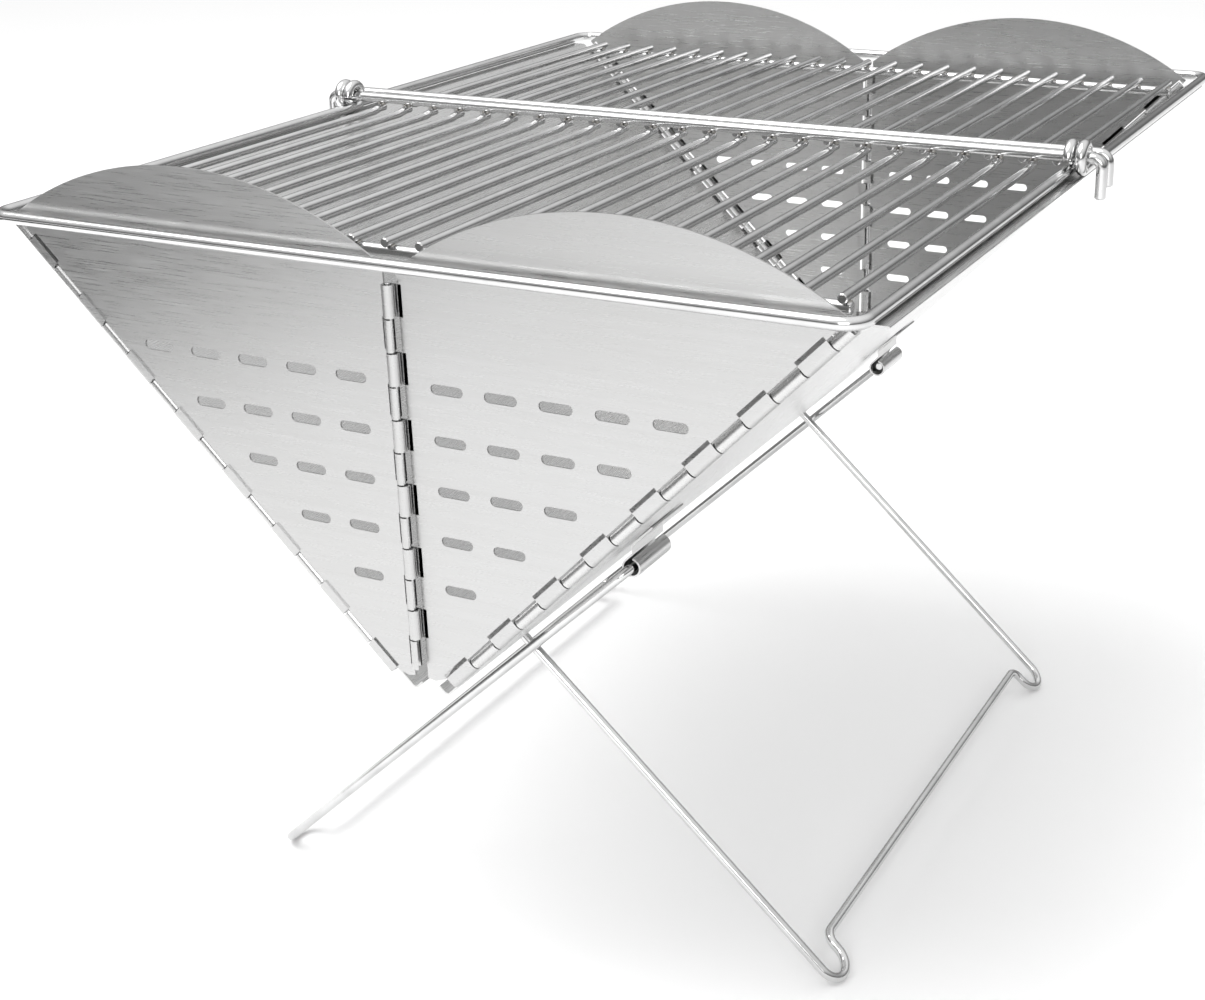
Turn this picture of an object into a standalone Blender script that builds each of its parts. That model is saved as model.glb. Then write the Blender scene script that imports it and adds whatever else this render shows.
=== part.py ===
"""Folding camp grill: a V trough of hinged sheet steel on crossed wire legs, under a folding wire grate.

Lengths are in millimetres until a mesh is made. X runs across the trough, Y along it and Z up, with
the origin on the floor under the trough's middle. A side is -1 (left) or +1 (right); an end is
-1 (near) or +1 (far).
"""

import math

import bmesh
import bpy
from mathutils import Vector
from mathutils.geometry import tessellate_polygon

MM = 0.001
ROOT2 = math.sqrt(2.0)

# Trough: two side panels at 45 degrees whose outer faces would meet at the apex line
APEX_Z = 133.0
TOP_Z = 304.0
SHEET = 0.8
SHEET_IN = 0.1          # outer face of a sheet, measured in from the corner planes
LIP_X = 177.0           # outer edge of the rolled lip along each side panel's top
END_Y = 220.0           # outer faces of the closed ends
PANEL_Y = 214.8         # half length of a side panel's plain sheet
FLANGE_S = 10.0         # where the side panel turns up towards the keel hinge
FLANGE_RISE = 5.2

# Piano hinges: knuckles curled from the sheet's edge round a loose pin
KNUCKLE_R = 2.4
BORE_R = 1.4
PIN_R = 1.0
TAB = 4.3               # how far a knuckle's tab reaches back into its sheet
TAB_THICK = 0.6
HINGE_GAP = 2.8         # from a hinge's axis to the edge of a sheet it does not hold
CORNER_PITCH = 27.9
CORNER_COUNT = 8
LEAF_KNUCKLE_S = 20.6
PANEL_KNUCKLE_S = 34.5
CORNER_KNUCKLE = 13.4
CORNER_END_S = 237.5
KEEL_AXIS = 8.5         # keel hinge axis, as far up each panel as in from it
KEEL_COUNT = 16
KEEL_HALF = 208.0
KEEL_GAP = 0.5
CENTRE_TOP_Z = 299.0    # upright hinge in the middle of each end
CENTRE_PITCH = 12.1
CENTRE_COUNT = 12
CENTRE_GAP = 0.6
CENTRE_AXIS_Y = END_Y + 1.4
CENTRE_PIN_FOOT_Z = 166.8   # the lowest knuckles turn about a shorter reach, so the pin ends above them

# End leaves
LEAF_BOTTOM_Z = 150.0
LOBE_X = 86.0
LOBE_PEAK_Z = 331.0
LOBE_R = 144.0
LOBE_END_X = 168.0
LOBE_STEPS = 14
SLOT_X = 19.7
SLOT_PITCH = 21.3
SLOT_Z = 263.3
SLOT_ROW = 18.9
SLOT_ROWS = 5
SLOT_LENGTH = 13.0
SLOT_WIDTH = 3.8

# Wire legs, each a bail clipped to one panel with its feet under the other
PIVOT_X = 47.0
PIVOT_Z = 170.6
FOOT_X = 134.0
LEG_R = 2.0
LEG_Y = {-1: 143.0, 1: 150.0}
LEG_END_Y = 121.0
FOOT_BEND = 8.0
CROSS_BACK = 15.0
CLIP_R = 4.2
CLIP_BORE = 2.5
CLIP_INNER_Y = 118.0
CLIP_SHEET = 0.8
CLIP_TAB = 20.0

# Grate: two halves of parallel rods in wire frames, folding about a cross rod
FRAME_R = 2.25
ROD_R = 1.75
GRATE_Z = TOP_Z + FRAME_R + 0.35
EYE_R = 5.0
BAR_Z = GRATE_Z + EYE_R
BAR_X = 184.0
BAR_DROP = {"rod": 16.0, "stop": 13.0}
STOP_Y = 10.2
FRAME_X = {-1: 171.5, 1: 176.5}
FRAME_END_Y = 226.0
ROD_PITCH = 14.2
ROD_SPREAD = 11         # rods each side of the middle one
ROD_SHIFT = {-1: 0.0, 1: 7.1}
ROD_END_Y = 202.0
ROD_START_Y = {-1: -1.5, 1: 7.6}   # each half's rods end just past the bar above them
TIE_Y = 198.0
TIE_DROP = 3.7
TIE_PAST = 2.0


def clear_scene():
    for thing in list(bpy.data.objects):
        bpy.data.objects.remove(thing)


def steel(name, colour, roughness):
    material = bpy.data.materials.new(name)
    material.use_nodes = True
    shader = material.node_tree.nodes["Principled BSDF"]
    shader.inputs["Base Color"].default_value = (*colour, 1.0)
    shader.inputs["Metallic"].default_value = 1.0
    shader.inputs["Roughness"].default_value = roughness
    return material


def slope(side, s, n, y):
    """A point s up the side panel from the apex line and n in from its outer plane."""
    return Vector((side * (s - n) / ROOT2, y, APEX_Z + (s + n) / ROOT2))


def up_slope(side):
    return Vector((side, 0.0, 1.0)) / ROOT2


def in_slope(side):
    return Vector((-side, 0.0, 1.0)) / ROOT2


def arc(centre, radius, start, end, steps):
    """Points on a plane arc, angles in degrees."""
    points = []
    for i in range(steps + 1):
        angle = math.radians(start + (end - start) * i / steps)
        points.append((centre[0] + radius * math.cos(angle), centre[1] + radius * math.sin(angle)))
    return points


def polygon(sides, flat_r):
    """A regular outline whose first flat is at the bottom."""
    corner_r = flat_r / math.cos(math.pi / sides)
    return arc((0.0, 0.0), corner_r, -90.0 + 180.0 / sides, 270.0 - 180.0 / sides, sides - 1)


def prism(bm, loops, place, low, high):
    """A closed solid from an outline and its holes, carried by place(point, depth)."""
    flat = [point for loop in loops for point in loop]
    ends = [[bm.verts.new(place(point, depth) * MM) for point in flat] for depth in (low, high)]
    triangles = tessellate_polygon([[Vector((p[0], p[1], 0.0)) for p in loop] for loop in loops])
    for a, b, c in triangles:
        bm.faces.new((ends[0][a], ends[0][b], ends[0][c]))
        bm.faces.new((ends[1][c], ends[1][b], ends[1][a]))
    start = 0
    for loop in loops:
        for i in range(len(loop)):
            a = start + i
            b = start + (i + 1) % len(loop)
            bm.faces.new((ends[0][a], ends[0][b], ends[1][b], ends[1][a]))
        start += len(loop)


def rounded(points, radius, steps):
    """A 3-D path whose corners are rounded; radius is a number or one number for each corner."""
    radii = radius if isinstance(radius, list) else [radius] * (len(points) - 2)
    path = [Vector(points[0])]
    for i, bend in enumerate(radii):
        before, corner, after = (Vector(p) for p in points[i:i + 3])
        back = (before - corner).normalized()
        ahead = (after - corner).normalized()
        half = back.angle(ahead) / 2.0
        reach = bend / math.tan(half)
        centre = corner + (back + ahead).normalized() * (bend / math.sin(half))
        start = corner + back * reach - centre
        end = corner + ahead * reach - centre
        turn = start.angle(end)
        for k in range(steps + 1):
            t = k / steps
            blend = start * math.sin((1.0 - t) * turn) + end * math.sin(t * turn)
            path.append(centre + blend / math.sin(turn))
    path.append(Vector(points[-1]))
    return path


def wire(bm, path, radius, sides):
    """A closed round wire swept along a path of points."""
    tangents = []
    for i in range(len(path)):
        first = path[max(i - 1, 0)]
        last = path[min(i + 1, len(path) - 1)]
        tangents.append((last - first).normalized())
    across = tangents[0].orthogonal().normalized()
    rings = []
    for i, point in enumerate(path):
        if i:
            across = tangents[i - 1].rotation_difference(tangents[i]) @ across
        other = tangents[i].cross(across)
        stretch = Vector((0.0, 0.0, 0.0))
        if 0 < i < len(path) - 1:
            turn = (path[i] - path[i - 1]).angle(path[i + 1] - path[i])
            stretch = (path[i + 1] - path[i]).normalized() - (path[i] - path[i - 1]).normalized()
            mitre = 1.0 / math.cos(turn / 2.0) - 1.0
            stretch = stretch.normalized() if turn > 1e-6 else Vector((0.0, 0.0, 0.0))
        else:
            mitre = 0.0
        ring = []
        for k in range(sides):
            angle = 2.0 * math.pi * (k + 0.5) / sides
            spoke = radius * (across * math.cos(angle) + other * math.sin(angle))
            spoke += stretch * stretch.dot(spoke) * mitre
            ring.append(bm.verts.new((point + spoke) * MM))
        rings.append(ring)
    for a, b in zip(rings, rings[1:]):
        for k in range(sides):
            j = (k + 1) % sides
            bm.faces.new((a[k], a[j], b[j], b[k]))
    bm.faces.new(rings[0])
    bm.faces.new(list(reversed(rings[-1])))


def solid(name, bm, material, pivot=Vector((0.0, 0.0, 0.0))):
    """Turns the bmesh into a named object whose origin is the pivot."""
    bmesh.ops.recalc_face_normals(bm, faces=bm.faces)
    bmesh.ops.translate(bm, verts=bm.verts, vec=-pivot * MM)
    mesh = bpy.data.meshes.new(name)
    bm.to_mesh(mesh)
    bm.free()
    mesh.materials.append(material)
    piece = bpy.data.objects.new(name, mesh)
    piece.location = pivot * MM
    bpy.context.scene.collection.objects.link(piece)
    smooth(mesh)
    return piece


def smooth(mesh):
    mesh.shade_smooth()
    mesh.set_sharp_from_angle(angle=math.radians(50.0))


def weld(piece, addition):
    """Joins the addition's solids to the piece, so that both are one body."""
    modifier = piece.modifiers.new("Weld", "BOOLEAN")
    modifier.operation = "UNION"
    modifier.object = addition
    bpy.context.view_layer.update()
    evaluated = piece.evaluated_get(bpy.context.evaluated_depsgraph_get())
    mesh = bpy.data.meshes.new_from_object(evaluated)
    piece.modifiers.clear()
    piece.data = mesh
    bpy.data.objects.remove(addition)
    smooth(mesh)


def knuckle_loops(tab):
    """A knuckle's outline: a ring at the origin with a tangent tab running off to -u, and its bore."""
    ring = polygon(8, KNUCKLE_R)
    low = -(KNUCKLE_R + BORE_R) / 2.0 - TAB_THICK / 2.0
    high = low + TAB_THICK
    flat_x = KNUCKLE_R * math.tan(math.pi / 8.0)
    outline = ring[:-1] + [(-flat_x - (high + KNUCKLE_R), high), (-tab, high), (-tab, low)]
    outline += [(-flat_x - (low + KNUCKLE_R), low), ring[-1]]
    return [outline, polygon(5, BORE_R)]


def open_knuckle_loops(tab):
    """A knuckle that is only the half ring next to its tab, so that a pin can leave it sideways."""
    low = -(KNUCKLE_R + BORE_R) / 2.0 - TAB_THICK / 2.0
    high = low + TAB_THICK
    outline = [(0.3, KNUCKLE_R), (-1.0, KNUCKLE_R), (-KNUCKLE_R, 1.0), (-KNUCKLE_R, -1.0)]
    outline += [(-1.0 - (high + KNUCKLE_R), high), (-tab, high), (-tab, low)]
    outline += [(-1.0 - (low + KNUCKLE_R), low), (-1.0, -KNUCKLE_R), (0.3, -KNUCKLE_R)]
    outline += [(0.3, -BORE_R), (-0.6, -BORE_R), (-BORE_R, -0.6), (-BORE_R, 0.6), (-0.6, BORE_R)]
    outline += [(0.3, BORE_R)]
    return [outline]


def add_knuckle(bm, loops, axis_point, along, u_dir, v_dir, low, high):
    prism(bm, loops, lambda p, d: axis_point + along * d + u_dir * p[0] + v_dir * p[1], low, high)


def corner_axis(side, end):
    """The point at s = 0 on the slanted hinge between a side panel and an end."""
    return slope(side, 0.0, KNUCKLE_R, end * (END_Y - KNUCKLE_R))


def corner_stretches(first):
    spans = []
    for k in range(CORNER_COUNT):
        low = first + CORNER_PITCH * k
        spans.append((low, min(low + CORNER_KNUCKLE, CORNER_END_S)))
    return spans


def side_panel(side, material):
    outer = SHEET_IN
    inner = SHEET_IN + SHEET
    foot = [(FLANGE_S, outer), (FLANGE_S, FLANGE_RISE), (FLANGE_S + SHEET, FLANGE_RISE)]
    foot += [(FLANGE_S + SHEET, inner)]
    outline = [(slope(1, s, n, 0.0).x, slope(1, s, n, 0.0).z) for s, n in foot]
    outline += [(TOP_Z - APEX_Z - inner * ROOT2, TOP_Z), (LIP_X, TOP_Z), (LIP_X, TOP_Z - SHEET)]
    outline += [(TOP_Z - SHEET - APEX_Z - outer * ROOT2, TOP_Z - SHEET)]
    bm = bmesh.new()
    prism(bm, [outline], lambda p, d: Vector((side * p[0], d, p[1])), -PANEL_Y, PANEL_Y)
    name = "side_panel_right" if side > 0 else "side_panel_left"
    panel = solid(name, bm, material)

    curls = bmesh.new()
    for end in (-1, 1):
        for low, high in corner_stretches(PANEL_KNUCKLE_S):
            add_knuckle(curls, knuckle_loops(TAB), corner_axis(side, end), up_slope(side),
                        Vector((0.0, end, 0.0)), in_slope(side), low, high)
    pitch = 2.0 * KEEL_HALF / KEEL_COUNT
    for i in range(0 if side > 0 else 1, KEEL_COUNT, 2):
        low = -KEEL_HALF + pitch * i + KEEL_GAP / 2.0
        add_knuckle(curls, knuckle_loops(KEEL_AXIS - FLANGE_RISE + 1.5),
                    slope(side, KEEL_AXIS, KEEL_AXIS, 0.0), Vector((0.0, 1.0, 0.0)),
                    in_slope(side), -up_slope(side), low, low + pitch - KEEL_GAP)
    weld(panel, solid("curls", curls, material))


def leaf_outline():
    """An end leaf at x > 0, from the foot of its slanted edge round to the foot of its upright edge."""
    edge_n = KNUCKLE_R + HINGE_GAP
    top_s = CORNER_END_S + 0.7
    foot_x = LEAF_BOTTOM_Z + 1.0 - APEX_Z - edge_n * ROOT2
    corner = [slope(1, top_s, n, 0.0) for n in (edge_n, KNUCKLE_R + 0.2)]
    points = [(foot_x, LEAF_BOTTOM_Z + 1.0)] + [(p.x, p.z) for p in corner]
    centre = (LOBE_X, LOBE_PEAK_Z - LOBE_R)
    first = math.degrees(math.acos((LOBE_END_X - LOBE_X) / LOBE_R))
    last = math.degrees(math.acos((HINGE_GAP - LOBE_X) / LOBE_R))
    points += arc(centre, LOBE_R, first, last, LOBE_STEPS)
    points += [(HINGE_GAP, LEAF_BOTTOM_Z), (HINGE_GAP + 3.0, LEAF_BOTTOM_Z - 0.6)]
    return points


def slot_outline(x, z):
    reach = (SLOT_LENGTH - SLOT_WIDTH) / 2.0
    right = arc((x + reach, z), SLOT_WIDTH / 2.0, -90.0, 90.0, 3)
    left = arc((x - reach, z), SLOT_WIDTH / 2.0, 90.0, 270.0, 3)
    return right + left


def end_leaf(side, end, material):
    outer = END_Y - SHEET_IN
    loops = [leaf_outline()]
    for row in range(SLOT_ROWS):
        for k in range(SLOT_ROWS - row):
            loops.append(slot_outline(SLOT_X + SLOT_PITCH * k, SLOT_Z - SLOT_ROW * row))
    bm = bmesh.new()
    prism(bm, loops, lambda p, d: Vector((side * p[0], end * d, p[1])), outer - SHEET, outer)
    axis = corner_axis(side, end)
    name = f"end_leaf_{'far' if end > 0 else 'near'}_{'right' if side > 0 else 'left'}"
    leaf = solid(name, bm, material, axis)

    curls = bmesh.new()
    for low, high in corner_stretches(LEAF_KNUCKLE_S):
        add_knuckle(curls, knuckle_loops(TAB), axis, up_slope(side), -in_slope(side),
                    Vector((0.0, -end, 0.0)), low, high)
    loops = knuckle_loops(TAB) if side > 0 else open_knuckle_loops(TAB)
    for i in range(0 if side > 0 else 1, CENTRE_COUNT, 2):
        high = CENTRE_TOP_Z - CENTRE_PITCH * i
        add_knuckle(curls, loops, Vector((0.0, end * CENTRE_AXIS_Y, 0.0)), Vector((0.0, 0.0, 1.0)),
                    Vector((-side, 0.0, 0.0)), Vector((0.0, end, 0.0)),
                    high - CENTRE_PITCH + CENTRE_GAP, high)
    weld(leaf, solid("curls", curls, material, axis))


def hinge_pins(material):
    keel = slope(1, KEEL_AXIS, KEEL_AXIS, 0.0)
    reach = Vector((0.0, KEEL_HALF + 0.4, 0.0))
    bm = bmesh.new()
    wire(bm, [keel - reach, keel + reach], PIN_R, 8)
    solid("keel_hinge_pin", bm, material)
    for end in (-1, 1):
        where = "far" if end > 0 else "near"
        for side in (-1, 1):
            axis = corner_axis(side, end)
            run = up_slope(side)
            bm = bmesh.new()
            wire(bm, [axis + run * (LEAF_KNUCKLE_S - 0.3), axis + run * (CORNER_END_S + 0.3)], PIN_R, 8)
            solid(f"corner_pin_{where}_{'right' if side > 0 else 'left'}", bm, material)
        ends = [Vector((0.0, end * CENTRE_AXIS_Y, z)) for z in (CENTRE_PIN_FOOT_Z, CENTRE_TOP_Z + 0.6)]
        bm = bmesh.new()
        wire(bm, ends, PIN_R - 0.1, 8)
        solid(f"centre_pin_{where}", bm, material, corner_axis(1, end))


def leg(side, material):
    """A wire bail: both ends in the clips on its own panel, both feet under the other panel."""
    pivot = Vector((side * PIVOT_X, 0.0, PIVOT_Z))
    run = Vector((-side * FOOT_X, 0.0, LEG_R)) - pivot
    length = run.length
    run.normalize()
    reach = LEG_Y[side]
    inner = reach - 2.0 * FOOT_BEND
    half = [(0.0, LEG_END_Y), (0.0, reach), (length, reach), (length, inner)]
    half += [(length - CROSS_BACK, inner)]
    plan = half + [(a, -y) for a, y in reversed(half)]
    bends = [5.0, FOOT_BEND - 0.05, FOOT_BEND - 0.05, 5.0]
    corners = [pivot + run * a + Vector((0.0, y, 0.0)) for a, y in plan]
    bm = bmesh.new()
    wire(bm, rounded(corners, bends + list(reversed(bends)), 5), LEG_R, 8)
    solid("leg_wide" if side > 0 else "leg_narrow", bm, material, pivot)


def clip_loops():
    """A strap rolled round the leg's end, with a jogged tab that lies on the panel."""
    ring = polygon(8, CLIP_R)
    low = -CLIP_R + 0.2
    high = low + CLIP_SHEET
    flat_x = CLIP_R * math.tan(math.pi / 8.0)
    panel_n = (PIVOT_Z - APEX_Z - PIVOT_X) / ROOT2
    down = panel_n + 0.2
    outline = ring[:-1] + [(-flat_x - (high + CLIP_R), high), (-4.4, high), (-6.8, down + CLIP_SHEET)]
    outline += [(-CLIP_TAB, down + CLIP_SHEET), (-CLIP_TAB, down), (-7.2, down), (-4.8, low)]
    outline += [(-flat_x - (low + CLIP_R), low), ring[-1]]
    return [outline, polygon(6, CLIP_BORE)]


def leg_clips(side, material):
    pivot = Vector((side * PIVOT_X, 0.0, PIVOT_Z))
    for end in (-1, 1):
        bm = bmesh.new()
        low, high = sorted((end * CLIP_INNER_Y, end * (LEG_Y[side] - 6.0)))
        add_knuckle(bm, clip_loops(), pivot, Vector((0.0, 1.0, 0.0)), -up_slope(side),
                    -in_slope(side), low, high)
        name = f"leg_clip_{'far' if end > 0 else 'near'}_{'right' if side > 0 else 'left'}"
        solid(name, bm, material)


def eye(x, end, steps):
    """The eye that a frame wire from the given end makes round the hinge rod, from its lowest point on."""
    turn = arc((0.0, BAR_Z), EYE_R, -90.0, 180.0, steps)
    return [Vector((x, -end * y, z)) for y, z in turn]


def grid(end, material, pivot):
    """The rods of one half, on the tie wire that is welded under their outer ends."""
    bm = bmesh.new()
    places = [ROD_PITCH * i + ROD_SHIFT[end] for i in range(-ROD_SPREAD, ROD_SPREAD + 1)]
    for x in places:
        outer = Vector((x, end * ROD_END_Y, GRATE_Z))
        wire(bm, [outer, Vector((x, end * ROD_START_Y[end], GRATE_Z))], ROD_R, 6)
    half = solid("far_grid" if end > 0 else "near_grid", bm, material, pivot)
    tie = bmesh.new()
    z = GRATE_Z - TIE_DROP
    ends = [Vector((x, end * TIE_Y, z)) for x in (places[0] - TIE_PAST, places[-1] + TIE_PAST)]
    wire(tie, ends, FRAME_R, 8)
    weld(half, solid("tie", tie, material, pivot))


def frame(end, material, pivot):
    """The wire that runs round the outside of one half and ends in an eye on each side."""
    x = FRAME_X[end]
    corners = [(x, 0.0), (x, end * FRAME_END_Y), (-x, end * FRAME_END_Y), (-x, 0.0)]
    bend = rounded([(px, py, GRATE_Z) for px, py in corners], 8.0, 5)[1:-1]
    path = list(reversed(eye(x, end, 8))) + bend + eye(-x, end, 8)
    bm = bmesh.new()
    wire(bm, path, FRAME_R, 8)
    solid("far_frame" if end > 0 else "near_frame", bm, material, pivot)


def cross_bar(name, y, drop, material, pivot):
    corners = [(-BAR_X, y, BAR_Z - drop), (-BAR_X, y, BAR_Z), (BAR_X, y, BAR_Z), (BAR_X, y, BAR_Z - drop)]
    bm = bmesh.new()
    wire(bm, rounded(corners, 4.0, 4), FRAME_R, 8)
    solid(name, bm, material, pivot)


def build():
    clear_scene()
    sheet = steel("brushed sheet steel", (0.62, 0.62, 0.61), 0.34)
    pin = steel("hinge pin steel", (0.50, 0.50, 0.50), 0.30)
    plated = steel("plated wire", (0.70, 0.70, 0.70), 0.16)
    fold = Vector((0.0, 0.0, BAR_Z))
    for side in (-1, 1):
        side_panel(side, sheet)
        leg(side, plated)
        leg_clips(side, sheet)
        for end in (-1, 1):
            end_leaf(side, end, sheet)
    hinge_pins(pin)
    for end in (-1, 1):
        grid(end, plated, fold)
        frame(end, plated, fold)
    cross_bar("grate_hinge_rod", 0.0, BAR_DROP["rod"], plated, fold)
    cross_bar("grate_stop_bar", STOP_Y, BAR_DROP["stop"], plated, fold)


build()
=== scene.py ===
"""Looks of a folding camp grill: curled hinge knuckles, drawn wires, weld beads and brushed sheet steel.

Lengths are in millimetres until a mesh is made, in the frame's own axes: X across the trough, Y along
it and Z up. A side is -1 (left) or +1 (right); an end is -1 (near) or +1 (far).
"""

import math

import bmesh
import bpy
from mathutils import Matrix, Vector
from mathutils.geometry import tessellate_polygon


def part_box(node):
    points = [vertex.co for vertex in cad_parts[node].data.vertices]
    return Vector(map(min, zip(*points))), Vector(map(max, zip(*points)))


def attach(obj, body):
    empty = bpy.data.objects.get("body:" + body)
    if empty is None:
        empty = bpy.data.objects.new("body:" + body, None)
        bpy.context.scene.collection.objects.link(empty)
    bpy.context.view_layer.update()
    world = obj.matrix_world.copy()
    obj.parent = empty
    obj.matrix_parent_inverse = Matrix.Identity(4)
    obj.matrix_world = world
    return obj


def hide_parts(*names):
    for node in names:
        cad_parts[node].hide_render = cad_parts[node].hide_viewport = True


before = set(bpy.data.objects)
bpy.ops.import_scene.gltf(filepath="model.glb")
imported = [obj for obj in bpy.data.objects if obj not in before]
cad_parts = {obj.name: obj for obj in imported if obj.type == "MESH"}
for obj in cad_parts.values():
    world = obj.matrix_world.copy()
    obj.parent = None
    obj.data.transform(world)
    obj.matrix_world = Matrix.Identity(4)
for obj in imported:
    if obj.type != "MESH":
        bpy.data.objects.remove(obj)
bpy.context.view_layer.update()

MM = 0.001
ROOT2 = math.sqrt(2.0)
SIDE_NAME = {-1: "left", 1: "right"}
END_NAME = {-1: "near", 1: "far"}


def low(node, axis):
    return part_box(node)[0][axis] / MM


def high(node, axis):
    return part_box(node)[1][axis] / MM


# Trough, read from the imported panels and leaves
SHEET = 0.8
SHEET_IN = 0.1          # outer face of a sheet, measured in from the corner planes
TOP_Z = high("side_panel_right", 2)     # the panel's highest knuckle, 0.33 above its lip
LIP_X = high("side_panel_right", 0)
END_Y = high("side_panel_right", 1)
APEX_Z = TOP_Z - 171.0  # where the two panels' outer planes would meet
PANEL_Y = END_Y - 5.2   # half length of a side panel's plain sheet
FLANGE_S = 10.0         # where the side panel turns up towards the keel hinge
FLANGE_RISE = 5.2
BEND = 1.2              # inside radius of a folded sheet

# Piano hinges
CURL_R = 2.3
CURL_BORE = CURL_R - SHEET
CURL_TURN = 292.0       # degrees that a sheet's edge is rolled through
AXIS_IN = 2.4           # hinge axes lie this far in from the corner planes
PIN_R = 1.0
PIN_SIDES = 16
PIN_NOSE = 0.3
PIN_PAST = 0.3          # how far a slanted hinge's pin stands past its knuckles
TAB = 4.3               # how far a knuckle's tab reaches back into its sheet
HINGE_GAP = 2.8         # from a hinge's axis to the edge of a sheet it does not hold
CORNER_PITCH = 27.9
CORNER_COUNT = 8
LEAF_KNUCKLE_S = 20.6
PANEL_KNUCKLE_S = 34.5
CORNER_KNUCKLE = 13.4
CORNER_END_S = 237.5
KEEL_AXIS = 8.5
KEEL_COUNT = 16
KEEL_HALF = 208.0
KEEL_GAP = 0.5
CENTRE_PIN_PAST = 0.6
CENTRE_TOP_Z = high("centre_pin_near", 2) - CENTRE_PIN_PAST
CENTRE_PITCH = 12.1
CENTRE_COUNT = 12
CENTRE_GAP = 0.6
CENTRE_AXIS_Y = END_Y + 1.4

# End leaves
LEAF_BOTTOM_Z = 150.0
LOBE_X = 86.0
LOBE_PEAK_Z = high("end_leaf_near_right", 2)
LOBE_R = 144.0
LOBE_END_X = 168.0
SLOT_X = 19.7
SLOT_PITCH = 21.3
SLOT_Z = 263.3
SLOT_ROW = 18.9
SLOT_ROWS = 5
SLOT_LENGTH = 13.0
SLOT_WIDTH = 3.8

# Wire legs and their clips
PIVOT_X = 47.0
PIVOT_Z = 170.6
FOOT_X = 134.0
LEG_R = 2.0
LEG_Y = {-1: high("leg_narrow", 1) - LEG_R, 1: high("leg_wide", 1) - LEG_R}
LEG_END_Y = 121.0
FOOT_BEND = 8.0
CROSS_BACK = 15.0
CLIP_R = 4.1
CLIP_BORE = CLIP_R - SHEET
CLIP_INNER_Y = 118.0
CLIP_TAB = 20.0

# Grate
FRAME_R = 2.25
ROD_R = 1.75
GRATE_Z = TOP_Z + FRAME_R + 0.35
EYE_R = 5.0
BAR_Z = GRATE_Z + EYE_R
BAR_X = 184.0
BAR_DROP = {"rod": 16.0, "stop": 13.0}
STOP_Y = 10.2
FRAME_X = {-1: 171.5, 1: 176.5}
FRAME_END_Y = 226.0
ROD_PITCH = 14.2
ROD_SPREAD = 11
ROD_SHIFT = {-1: 0.0, 1: 7.1}
ROD_END_Y = 202.0
ROD_START_Y = {-1: -1.5, 1: 7.6}
ROD_KICK = 0.8          # the near rods' inner ends are pressed up to the hinge rod by this much
TIE_Y = 198.0
TIE_DROP = 3.7
TIE_PAST = 2.0


# ---------------------------------------------------------------- materials

def nodes_of(name):
    material = bpy.data.materials.new(name)
    material.use_nodes = True
    tree = material.node_tree
    return material, tree, tree.nodes["Principled BSDF"]


def noise(tree, scale, detail=3.0, rough=0.55):
    """A noise texture in object space, stretched by its three scales (cycles per metre)."""
    place = tree.nodes.new("ShaderNodeTexCoord")
    stretch = tree.nodes.new("ShaderNodeMapping")
    stretch.inputs["Scale"].default_value = scale
    texture = tree.nodes.new("ShaderNodeTexNoise")
    texture.inputs["Scale"].default_value = 1.0
    texture.inputs["Detail"].default_value = detail
    texture.inputs["Roughness"].default_value = rough
    tree.links.new(place.outputs["Object"], stretch.inputs["Vector"])
    tree.links.new(stretch.outputs["Vector"], texture.inputs["Vector"])
    return texture.outputs["Fac"]


def ramp(tree, value, stops):
    """Maps a value through colour stops: (position, colour) pairs."""
    node = tree.nodes.new("ShaderNodeValToRGB")
    elements = node.color_ramp.elements
    while len(elements) < len(stops):
        elements.new(0.5)
    for element, (position, colour) in zip(elements, stops):
        element.position = position
        element.color = (*colour, 1.0)
    tree.links.new(value, node.inputs["Fac"])
    return node.outputs["Color"]


def spread(tree, value, low_value, high_value, start=0.3, stop=0.7):
    node = tree.nodes.new("ShaderNodeMapRange")
    node.inputs["From Min"].default_value = start
    node.inputs["From Max"].default_value = stop
    node.inputs["To Min"].default_value = low_value
    node.inputs["To Max"].default_value = high_value
    tree.links.new(value, node.inputs["Value"])
    return node.outputs["Result"]


def combine(tree, first, second, mode, share=1.0):
    node = tree.nodes.new("ShaderNodeMix")
    node.data_type = "RGBA"
    node.blend_type = mode
    node.inputs["Factor"].default_value = share
    tree.links.new(first, node.inputs[6])
    tree.links.new(second, node.inputs[7])
    return node.outputs[2]


def bump(tree, shader, value, strength, distance):
    node = tree.nodes.new("ShaderNodeBump")
    node.inputs["Strength"].default_value = strength
    node.inputs["Distance"].default_value = distance
    tree.links.new(value, node.inputs["Height"])
    tree.links.new(node.outputs["Normal"], shader.inputs["Normal"])


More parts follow.
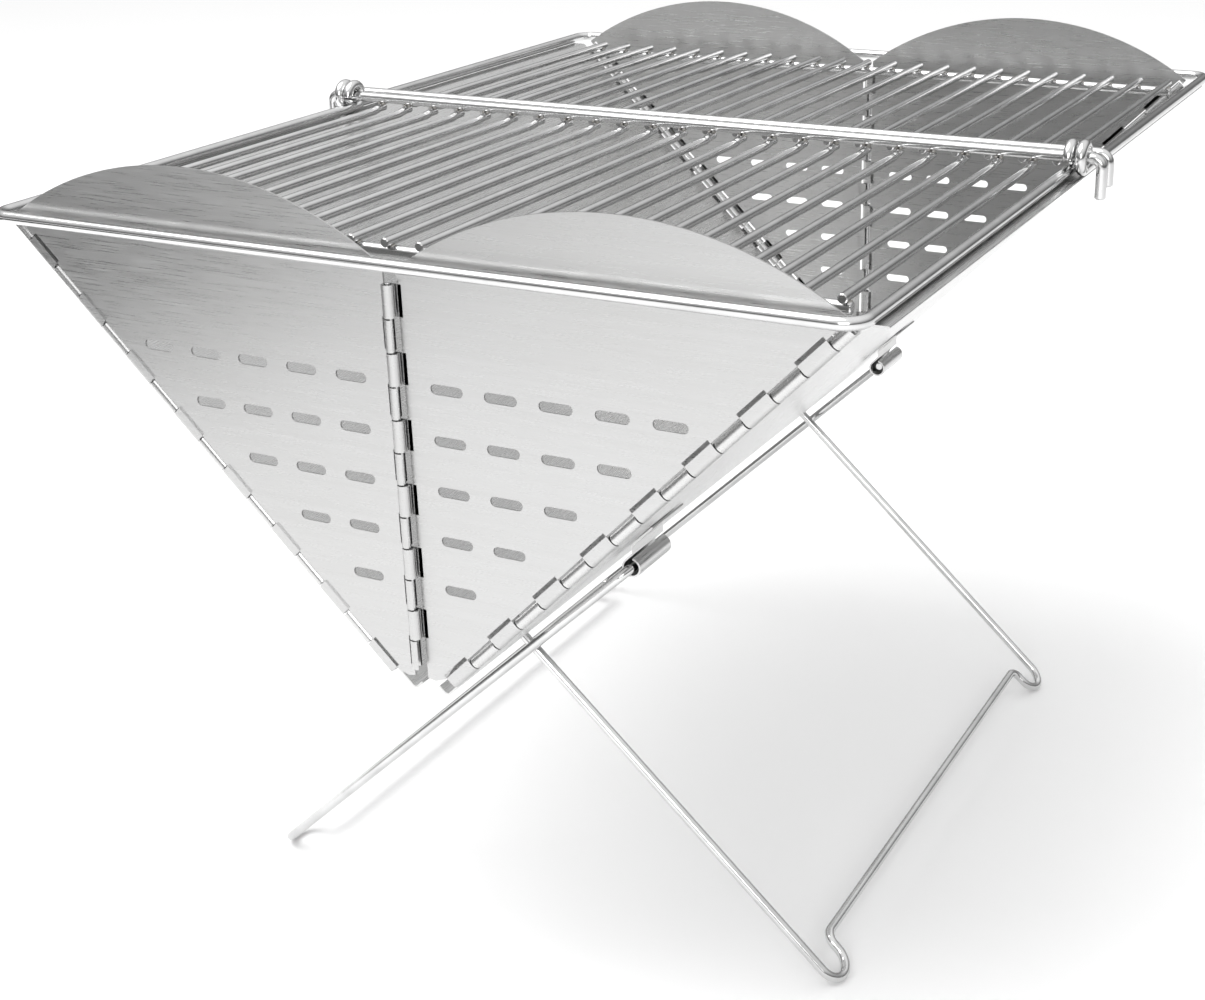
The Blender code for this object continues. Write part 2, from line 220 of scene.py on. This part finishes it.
def brushed_steel(name, tone, grain, roughness):
    """Sheet steel with a fine brushed grain along one axis, faint clouding and uneven polish."""
    material, tree, shader = nodes_of(name)
    streak = [2600.0, 2600.0, 2600.0]
    streak[grain] = 60.0
    band = [420.0, 420.0, 420.0]
    band[grain] = 7.0
    fine = noise(tree, streak, 4.0, 0.62)
    broad = noise(tree, band, 2.0)
    cloud = noise(tree, (11.0, 11.0, 11.0), 2.0)
    dark, pale = (tuple(tone * f for _ in range(3)) for f in (0.95, 1.03))
    grain_colour = ramp(tree, fine, [(0.28, dark), (0.72, pale)])
    band_colour = ramp(tree, broad, [(0.3, (0.97, 0.97, 0.968)), (0.7, (1.0, 1.0, 1.0))])
    cloud_colour = ramp(tree, cloud, [(0.25, (0.965, 0.963, 0.958)), (0.75, (1.0, 1.0, 1.0))])
    mixed = combine(tree, grain_colour, band_colour, "MULTIPLY")
    mixed = combine(tree, mixed, cloud_colour, "MULTIPLY")
    tree.links.new(mixed, shader.inputs["Base Color"])
    tree.links.new(spread(tree, fine, roughness - 0.06, roughness + 0.08), shader.inputs["Roughness"])
    shader.inputs["Metallic"].default_value = 1.0
    bump(tree, shader, fine, 0.12, 0.00004)
    return material


def bright_wire(name, tone, roughness):
    """Plated drawn wire: bright, with faint pitting and slightly uneven polish."""
    material, tree, shader = nodes_of(name)
    spots = noise(tree, (700.0, 700.0, 700.0), 3.0)
    waves = noise(tree, (60.0, 60.0, 60.0), 2.0)
    dark, pale = (tuple(tone * f for _ in range(3)) for f in (0.88, 1.04))
    tree.links.new(ramp(tree, waves, [(0.3, dark), (0.7, pale)]), shader.inputs["Base Color"])
    tree.links.new(spread(tree, spots, roughness - 0.04, roughness + 0.10), shader.inputs["Roughness"])
    shader.inputs["Metallic"].default_value = 1.0
    bump(tree, shader, spots, 0.12, 0.00004)
    return material


def weld_metal(name):
    material, tree, shader = nodes_of(name)
    scale = noise(tree, (900.0, 900.0, 900.0), 4.0)
    tree.links.new(ramp(tree, scale, [(0.3, (0.32, 0.30, 0.28)), (0.7, (0.55, 0.54, 0.52))]),
                   shader.inputs["Base Color"])
    tree.links.new(spread(tree, scale, 0.32, 0.55), shader.inputs["Roughness"])
    shader.inputs["Metallic"].default_value = 1.0
    bump(tree, shader, scale, 0.5, 0.0002)
    return material


# ---------------------------------------------------------------- mesh tools

def slope(side, s, n, y):
    """A point s up the side panel from the apex line and n in from its outer plane."""
    return Vector((side * (s - n) / ROOT2, y, APEX_Z + (s + n) / ROOT2))


def up_slope(side):
    return Vector((side, 0.0, 1.0)) / ROOT2


def in_slope(side):
    return Vector((-side, 0.0, 1.0)) / ROOT2


def arc(centre, radius, start, end, steps):
    points = []
    for i in range(steps + 1):
        angle = math.radians(start + (end - start) * i / steps)
        points.append((centre[0] + radius * math.cos(angle), centre[1] + radius * math.sin(angle)))
    return points


def prism(bm, loops, place, first, last):
    """A closed solid from an outline and its holes, carried by place(point, depth)."""
    flat = [point for loop in loops for point in loop]
    ends = [[bm.verts.new(place(point, depth) * MM) for point in flat] for depth in (first, last)]
    triangles = tessellate_polygon([[Vector((p[0], p[1], 0.0)) for p in loop] for loop in loops])
    for a, b, c in triangles:
        bm.faces.new((ends[0][a], ends[0][b], ends[0][c]))
        bm.faces.new((ends[1][c], ends[1][b], ends[1][a]))
    start = 0
    for loop in loops:
        for i in range(len(loop)):
            a = start + i
            b = start + (i + 1) % len(loop)
            bm.faces.new((ends[0][a], ends[0][b], ends[1][b], ends[1][a]))
        start += len(loop)


def rounded(points, radius, steps):
    """A 3-D path whose corners are rounded; radius is a number or one number for each corner."""
    radii = radius if isinstance(radius, list) else [radius] * (len(points) - 2)
    path = [Vector(points[0])]
    for i, bend in enumerate(radii):
        before, corner, after = (Vector(p) for p in points[i:i + 3])
        back = (before - corner).normalized()
        ahead = (after - corner).normalized()
        half = back.angle(ahead) / 2.0
        centre = corner + (back + ahead).normalized() * (bend / math.sin(half))
        start = corner + back * (bend / math.tan(half)) - centre
        end = corner + ahead * (bend / math.tan(half)) - centre
        turn = start.angle(end)
        for k in range(steps + 1):
            t = k / steps
            blend = start * math.sin((1.0 - t) * turn) + end * math.sin(t * turn)
            path.append(centre + blend / math.sin(turn))
    path.append(Vector(points[-1]))
    return path


def wire(bm, path, radius, sides=18, nose=0.35):
    """A round wire swept along a path, with its cut ends eased over by the nose length."""
    tangents = []
    for i in range(len(path)):
        first = path[max(i - 1, 0)]
        last = path[min(i + 1, len(path) - 1)]
        tangents.append((last - first).normalized())
    stations = [(path[0], tangents[0], radius - nose)]
    stations += [(path[0] + tangents[0] * nose, tangents[0], radius)]
    stations += [(p, t, radius) for p, t in zip(path[1:-1], tangents[1:-1])]
    stations += [(path[-1] - tangents[-1] * nose, tangents[-1], radius)]
    stations += [(path[-1], tangents[-1], radius - nose)]
    across = tangents[0].orthogonal().normalized()
    before = tangents[0]
    rings = []
    for point, tangent, reach in stations:
        across = before.rotation_difference(tangent) @ across
        before = tangent
        other = tangent.cross(across)
        ring = []
        for k in range(sides):
            angle = 2.0 * math.pi * k / sides
            spoke = across * math.cos(angle) + other * math.sin(angle)
            ring.append(bm.verts.new((point + spoke * reach) * MM))
        rings.append(ring)
    for a, b in zip(rings, rings[1:]):
        for k in range(sides):
            j = (k + 1) % sides
            bm.faces.new((a[k], a[j], b[j], b[k]))
    bm.faces.new(rings[0])
    bm.faces.new(list(reversed(rings[-1])))


def piece(name, bm, material, body, slot, *nodes):
    """Makes the bmesh a piece that rides on a body and stands for the named CAD nodes."""
    bmesh.ops.recalc_face_normals(bm, faces=bm.faces)
    mesh = bpy.data.meshes.new(name)
    bm.to_mesh(mesh)
    bm.free()
    mesh.materials.append(material)
    mesh.shade_smooth()
    mesh.set_sharp_from_angle(angle=math.radians(38.0))
    thing = bpy.data.objects.new(name, mesh)
    bpy.context.scene.collection.objects.link(thing)
    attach(thing, body)
    if nodes:
        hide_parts(*nodes)
    return thing


# ---------------------------------------------------------------- hinges

def curl(tab):
    """A sheet's edge rolled nearly round a pin at the origin; the flat tab runs off to -u."""
    outer = arc((0.0, 0.0), CURL_R, -90.0, -90.0 + CURL_TURN, 18)
    inner = arc((0.0, 0.0), CURL_BORE, -90.0 + CURL_TURN, -90.0, 18)
    return [[(-tab, -CURL_R)] + outer + inner + [(-tab, -CURL_BORE)]]


def add_curl(bm, loops, point, along, u_dir, v_dir, first, last):
    prism(bm, loops, lambda p, d: point + along * d + u_dir * p[0] + v_dir * p[1], first, last)


def corner_axis(side, end):
    return slope(side, 0.0, AXIS_IN, end * (END_Y - AXIS_IN))


def corner_stretches(first):
    spans = []
    for k in range(CORNER_COUNT):
        start = first + CORNER_PITCH * k
        spans.append((start, min(start + CORNER_KNUCKLE, CORNER_END_S)))
    return spans


def pins(material):
    keel = slope(1, KEEL_AXIS, KEEL_AXIS, 0.0)
    reach = Vector((0.0, KEEL_HALF + 0.4, 0.0))
    bm = bmesh.new()
    wire(bm, [keel - reach, keel + reach], PIN_R, PIN_SIDES, PIN_NOSE)
    piece("keel_hinge_pin_drawn", bm, material, "trough", "pin", "keel_hinge_pin")
    for end, where in END_NAME.items():
        for side, hand in SIDE_NAME.items():
            axis = corner_axis(side, end)
            reach = (LEAF_KNUCKLE_S - PIN_PAST, CORNER_END_S + PIN_PAST)
            bm = bmesh.new()
            wire(bm, [axis + up_slope(side) * s for s in reach], PIN_R, PIN_SIDES, PIN_NOSE)
            node = f"corner_pin_{where}_{hand}"
            piece(node + "_drawn", bm, material, "trough", "pin", node)
        top = Vector((0.0, end * CENTRE_AXIS_Y, CENTRE_TOP_Z + CENTRE_PIN_PAST))
        foot = Vector((top.x, top.y, low("centre_pin_near", 2)))
        bm = bmesh.new()
        wire(bm, [foot, top], PIN_R - 0.1, PIN_SIDES, PIN_NOSE)
        node = f"centre_pin_{where}"
        piece(node + "_drawn", bm, material, f"leaf_{where}_right", "pin", node)


# ---------------------------------------------------------------- sheet metal

def in_section(places):
    """Turns places up and in from the right panel's outer plane into X and Z."""
    return [(slope(1, s, n, 0.0).x, slope(1, s, n, 0.0).z) for s, n in places]


def panel_outline():
    """A side panel's section in X and Z: keel flange, sloping wall and rolled lip, with bent corners."""
    outer = SHEET_IN
    inner = SHEET_IN + SHEET
    top_in = TOP_Z - APEX_Z - inner * ROOT2
    low_lip = TOP_Z - SHEET
    under_lip = low_lip - APEX_Z - outer * ROOT2
    bend = (FLANGE_S + SHEET + BEND, inner + BEND)
    foot = [(FLANGE_S, FLANGE_RISE), (FLANGE_S + SHEET, FLANGE_RISE)]
    points = in_section(foot + arc(bend, BEND, 180.0, 270.0, 6))
    points += [(top_in - 0.5, TOP_Z - 0.5), (top_in + 0.4, TOP_Z - 0.06), (top_in + 1.2, TOP_Z)]
    points += arc((LIP_X - SHEET / 2.0, TOP_Z - SHEET / 2.0), SHEET / 2.0, 90.0, -90.0, 4)
    points += [(under_lip + 0.6, low_lip), (under_lip - 0.5, low_lip - 0.5)]
    return points + in_section(arc(bend, BEND + SHEET, 270.0, 180.0, 6))


def side_panel(side, material):
    bm = bmesh.new()
    prism(bm, [panel_outline()], lambda p, d: Vector((side * p[0], d, p[1])), -PANEL_Y, PANEL_Y)
    for end in (-1, 1):
        for first, last in corner_stretches(PANEL_KNUCKLE_S):
            add_curl(bm, curl(TAB), corner_axis(side, end), up_slope(side),
                     Vector((0.0, end, 0.0)), in_slope(side), first, last)
    pitch = 2.0 * KEEL_HALF / KEEL_COUNT
    for i in range(0 if side > 0 else 1, KEEL_COUNT, 2):
        first = -KEEL_HALF + pitch * i + KEEL_GAP / 2.0
        add_curl(bm, curl(KEEL_AXIS - FLANGE_RISE + 0.5), slope(side, KEEL_AXIS, KEEL_AXIS, 0.0),
                 Vector((0.0, 1.0, 0.0)), in_slope(side), -up_slope(side), first, first + pitch - KEEL_GAP)
    node = "side_panel_" + SIDE_NAME[side]
    piece(node + "_sheet", bm, material, "trough", "sheet", node)


def leaf_outline():
    edge_n = AXIS_IN + HINGE_GAP
    top_s = CORNER_END_S + 0.7
    foot_x = LEAF_BOTTOM_Z + 1.0 - APEX_Z - edge_n * ROOT2
    corner = [slope(1, top_s, n, 0.0) for n in (edge_n, AXIS_IN + 0.2)]
    points = [(foot_x, LEAF_BOTTOM_Z + 1.0)] + [(p.x, p.z) for p in corner]
    first = math.degrees(math.acos((LOBE_END_X - LOBE_X) / LOBE_R))
    last = math.degrees(math.acos((HINGE_GAP - LOBE_X) / LOBE_R))
    points += arc((LOBE_X, LOBE_PEAK_Z - LOBE_R), LOBE_R, first, last, 48)
    points += [(HINGE_GAP, LEAF_BOTTOM_Z), (HINGE_GAP + 3.0, LEAF_BOTTOM_Z - 0.6)]
    return points


def slot_outline(x, z):
    reach = (SLOT_LENGTH - SLOT_WIDTH) / 2.0
    right = arc((x + reach, z), SLOT_WIDTH / 2.0, -90.0, 90.0, 10)
    left = arc((x - reach, z), SLOT_WIDTH / 2.0, 90.0, 270.0, 10)
    return right + left


def open_curl():
    """A centre knuckle rolled only far enough for its neighbour's pin to leave it sideways."""
    outer = arc((0.0, 0.0), CURL_R, -90.0, -305.0, 16)
    inner = arc((0.0, 0.0), CURL_BORE, -305.0, -90.0, 16)
    return [outer + inner]


def end_leaf(side, end, material):
    face = END_Y - SHEET_IN
    loops = [leaf_outline()]
    for row in range(SLOT_ROWS):
        for k in range(SLOT_ROWS - row):
            loops.append(slot_outline(SLOT_X + SLOT_PITCH * k, SLOT_Z - SLOT_ROW * row))
    bm = bmesh.new()
    prism(bm, loops, lambda p, d: Vector((side * p[0], end * d, p[1])), face - SHEET, face)
    for first, last in corner_stretches(LEAF_KNUCKLE_S):
        add_curl(bm, curl(TAB), corner_axis(side, end), up_slope(side), -in_slope(side),
                 Vector((0.0, -end, 0.0)), first, last)
    upright = Vector((0.0, 0.0, 1.0))
    axis = Vector((0.0, end * CENTRE_AXIS_Y, 0.0))
    for i in range(0 if side > 0 else 1, CENTRE_COUNT, 2):
        top = CENTRE_TOP_Z - CENTRE_PITCH * i
        span = (top - CENTRE_PITCH + CENTRE_GAP, top)
        across = Vector((-side, 0.0, 0.0))
        outward = Vector((0.0, end, 0.0))
        if side > 0:
            add_curl(bm, curl(TAB), axis, upright, across, outward, *span)
        else:
            add_curl(bm, open_curl(), axis, upright, across, outward, *span)
            tab = [[(-TAB, -CURL_R), (0.0, -CURL_R), (0.0, -CURL_BORE), (-TAB, -CURL_BORE)]]
            add_curl(bm, tab, axis, upright, across, outward, *span)
    where, hand = END_NAME[end], SIDE_NAME[side]
    node = f"end_leaf_{where}_{hand}"
    piece(node + "_sheet", bm, material, f"leaf_{where}_{hand}", "sheet", node)


# ---------------------------------------------------------------- legs

def leg(side, material):
    pivot = Vector((side * PIVOT_X, 0.0, PIVOT_Z))
    run = Vector((-side * FOOT_X, 0.0, LEG_R)) - pivot
    length = run.length
    run.normalize()
    reach = LEG_Y[side]
    inner = reach - 2.0 * FOOT_BEND
    half = [(0.0, LEG_END_Y), (0.0, reach), (length, reach), (length, inner)]
    half += [(length - CROSS_BACK, inner)]
    plan = half + [(a, -y) for a, y in reversed(half)]
    bends = [5.0, FOOT_BEND - 0.02, FOOT_BEND - 0.02, 5.0]
    corners = [pivot + run * a + Vector((0.0, y, 0.0)) for a, y in plan]
    bm = bmesh.new()
    wire(bm, rounded(corners, bends + list(reversed(bends)), 12), LEG_R)
    name = "leg_wide" if side > 0 else "leg_narrow"
    piece(name + "_wire", bm, material, name, "leg_wire", name)


def leg_clips(side, material):
    """Straps rolled round the leg's two ends, each jogged down to lie on the panel."""
    pivot = Vector((side * PIVOT_X, 0.0, PIVOT_Z))
    panel_n = (PIVOT_Z - APEX_Z - PIVOT_X) / ROOT2
    down = panel_n + 0.2
    jog_low = [(-7.2, down), (-4.8, -CLIP_R)]
    jog_high = [(-4.4, SHEET - CLIP_R), (-6.8, down + SHEET)]
    outer = arc((0.0, 0.0), CLIP_R, -90.0, 215.0, 22)
    inner = arc((0.0, 0.0), CLIP_BORE, 215.0, -90.0, 22)
    outline = [(-CLIP_TAB, down)] + jog_low + outer + inner + jog_high + [(-CLIP_TAB, down + SHEET)]
    for end in (-1, 1):
        first, last = sorted((end * CLIP_INNER_Y, end * (LEG_Y[side] - 6.0)))
        bm = bmesh.new()
        add_curl(bm, [outline], pivot, Vector((0.0, 1.0, 0.0)), -up_slope(side), -in_slope(side), first, last)
        node = f"leg_clip_{END_NAME[end]}_{SIDE_NAME[side]}"
        piece(node + "_strap", bm, material, "trough", "clip", node)


# ---------------------------------------------------------------- grate

def eye(x, end, steps):
    turn = arc((0.0, BAR_Z), EYE_R, -90.0, 180.0, steps)
    return [Vector((x, -end * y, z)) for y, z in turn]


def rod_places(end):
    return [ROD_PITCH * i + ROD_SHIFT[end] for i in range(-ROD_SPREAD, ROD_SPREAD + 1)]


def grid(end, material):
    bm = bmesh.new()
    places = rod_places(end)
    for x in places:
        inner_y = end * ROD_START_Y[end]
        corners = [(x, end * ROD_END_Y, GRATE_Z), (x, inner_y + end * 9.0, GRATE_Z)]
        corners += [(x, inner_y + end * 4.0, GRATE_Z + ROD_KICK), (x, inner_y, GRATE_Z + ROD_KICK)]
        wire(bm, rounded(corners, 6.0, 4), ROD_R, 14)
    z = GRATE_Z - TIE_DROP
    tie = [Vector((x, end * TIE_Y, z)) for x in (places[0] - TIE_PAST, places[-1] + TIE_PAST)]
    wire(bm, tie, FRAME_R)
    node = END_NAME[end] + "_grid"
    piece(node + "_rods", bm, material, "grate_" + END_NAME[end], "grid_wire", node)


def bead(bm, centre, size):
    """A small pressed weld bead: a squashed ball with a slightly uneven skin."""
    made = bmesh.ops.create_icosphere(bm, subdivisions=2, radius=1.0)
    for vert in made["verts"]:
        lump = 1.0 + 0.08 * math.sin(5.0 * vert.co.x + centre.x) * math.cos(4.0 * vert.co.y)
        vert.co = (centre + Vector(vert.co[i] * size[i] * lump for i in range(3))) * MM


def welds(end, material):
    bm = bmesh.new()
    joint_z = GRATE_Z - TIE_DROP / 2.0
    for x in rod_places(end):
        for lean in (-1.0, 1.0):
            bead(bm, Vector((x + lean * 1.0, end * TIE_Y, joint_z)), (1.0, 1.5, 0.7))
    where = END_NAME[end]
    piece(where + "_tie_welds", bm, material, "grate_" + where, "grid_wire")


def bar_welds(end, material):
    """Beads that hold one half's rods under its bar."""
    bm = bmesh.new()
    y = STOP_Y if end > 0 else 0.0
    for x in rod_places(end):
        for lean in (-1.0, 1.0):
            bead(bm, Vector((x + lean, y, GRATE_Z + ROD_R + 0.9)), (0.9, 1.6, 0.8))
    where = END_NAME[end]
    piece(where + "_bar_welds", bm, material, "grate_" + where, "grid_wire")


def grate_frame(end, material):
    """The wire round one half, from eye to eye."""
    x = FRAME_X[end]
    corners = [(x, 0.0), (x, end * FRAME_END_Y), (-x, end * FRAME_END_Y), (-x, 0.0)]
    bend = rounded([(px, py, GRATE_Z) for px, py in corners], 8.0, 12)[1:-1]
    path = list(reversed(eye(x, end, 20))) + bend + eye(-x, end, 20)
    bm = bmesh.new()
    wire(bm, path, FRAME_R)
    node = END_NAME[end] + "_frame"
    piece(node + "_wire", bm, material, "grate_" + END_NAME[end], "frame_wire", node)


def cross_bar(node, body, y, drop, material):
    corners = [(-BAR_X, y, BAR_Z - drop), (-BAR_X, y, BAR_Z), (BAR_X, y, BAR_Z), (BAR_X, y, BAR_Z - drop)]
    bm = bmesh.new()
    wire(bm, rounded(corners, 4.0, 10), FRAME_R, 18, 0.6)
    piece(node + "_wire", bm, material, body, "frame_wire", node)


# ---------------------------------------------------------------- studio

def plain(name, tone, roughness):
    material, _, shader = nodes_of(name)
    shader.inputs["Base Color"].default_value = (tone, tone, tone, 1.0)
    shader.inputs["Roughness"].default_value = roughness
    return material


def card(name, centre, size, facing, material):
    """A flat studio card that faces a point."""
    mesh = bpy.data.meshes.new(name)
    w, h = size[0] / 2.0, size[1] / 2.0
    mesh.from_pydata([(-w, -h, 0.0), (w, -h, 0.0), (w, h, 0.0), (-w, h, 0.0)], [], [(0, 1, 2, 3)])
    mesh.materials.append(material)
    thing = bpy.data.objects.new(name, mesh)
    thing.location = centre
    thing.rotation_euler = (Vector(facing) - Vector(centre)).to_track_quat("Z", "Y").to_euler()
    bpy.context.scene.collection.objects.link(thing)


def softbox(name, centre, target, size, power):
    """A rectangular light that shines at a target; its size is in metres and its power in watts."""
    light = bpy.data.lights.new(name, "AREA")
    light.shape = "RECTANGLE"
    light.size, light.size_y = size
    light.energy = power
    thing = bpy.data.objects.new(name, light)
    thing.location = centre
    thing.rotation_euler = (Vector(centre) - Vector(target)).to_track_quat("Z", "Y").to_euler()
    bpy.context.scene.collection.objects.link(thing)


def sky():
    """A pale studio dome: bright overhead and dim in a band near the horizon."""
    world = bpy.data.worlds.new("studio dome")
    bpy.context.scene.world = world
    world.use_nodes = True
    tree = world.node_tree
    place = tree.nodes.new("ShaderNodeTexCoord")
    split = tree.nodes.new("ShaderNodeSeparateXYZ")
    tree.links.new(place.outputs["Generated"], split.inputs["Vector"])
    shades = [(0.0, 0.30), (0.12, 0.14), (0.34, 0.50), (0.62, 1.0), (0.9, 1.2)]
    colour = ramp(tree, split.outputs["Z"], [(p, (v, v, v)) for p, v in shades])
    tree.links.new(colour, tree.nodes["Background"].inputs["Color"])
    tree.nodes["Background"].inputs["Strength"].default_value = 1.0


def studio():
    bpy.context.scene.view_settings.view_transform = "Standard"
    pale = plain("pale floor", 0.97, 0.7)
    card("floor", (0.0, 0.0, -0.0005), (24.0, 24.0), (0.0, 0.0, 1.0), pale)
    sky()
    dark = plain("dark card", 0.03, 0.8)
    card("left card", (-1.15, -0.95, 0.02), (0.9, 1.3), (-1.15, -0.95, 2.0), dark)
    softbox("overhead softbox", (-0.6, -0.4, 1.9), (0.0, 0.0, 0.25), (1.6, 1.6), 30.0)
    softbox("front softbox", (0.9, -2.2, 1.1), (0.0, 0.0, 0.2), (1.4, 1.0), 20.0)


def camera():
    """The camera, placed in metres."""
    lens = bpy.data.cameras.new("camera")
    lens.sensor_width = 36.0
    lens.lens = 55.95
    lens.shift_x = -0.099
    lens.shift_y = -0.006
    lens.clip_start = 0.01
    thing = bpy.data.objects.new("camera", lens)
    thing.location = (0.3644, -0.7201, 0.4730)
    thing.rotation_euler = [math.radians(a) for a in (67.543, 0.636, 25.512)]
    bpy.context.scene.collection.objects.link(thing)
    bpy.context.scene.camera = thing


def build():
    camera()
    studio()
    leaf_steel = brushed_steel("leaf sheet steel", 0.53, 0, 0.30)
    panel_steel = brushed_steel("panel sheet steel", 0.60, 1, 0.27)
    strap_steel = brushed_steel("strap steel", 0.62, 1, 0.30)
    pin_steel = bright_wire("hinge pin steel", 0.50, 0.26)
    plated = bright_wire("plated wire", 0.66, 0.10)
    leg_plated = bright_wire("plated leg wire", 0.66, 0.12)
    weld = weld_metal("weld metal")
    for side in (-1, 1):
        side_panel(side, panel_steel)
        leg(side, leg_plated)
        leg_clips(side, strap_steel)
        for end in (-1, 1):
            end_leaf(side, end, leaf_steel)
    pins(pin_steel)
    for end in (-1, 1):
        grid(end, plated)
        grate_frame(end, plated)
        welds(end, weld)
        bar_welds(end, weld)
    cross_bar("grate_hinge_rod", "grate_near", 0.0, BAR_DROP["rod"], plated)
    cross_bar("grate_stop_bar", "grate_far", STOP_Y, BAR_DROP["stop"], plated)


build()
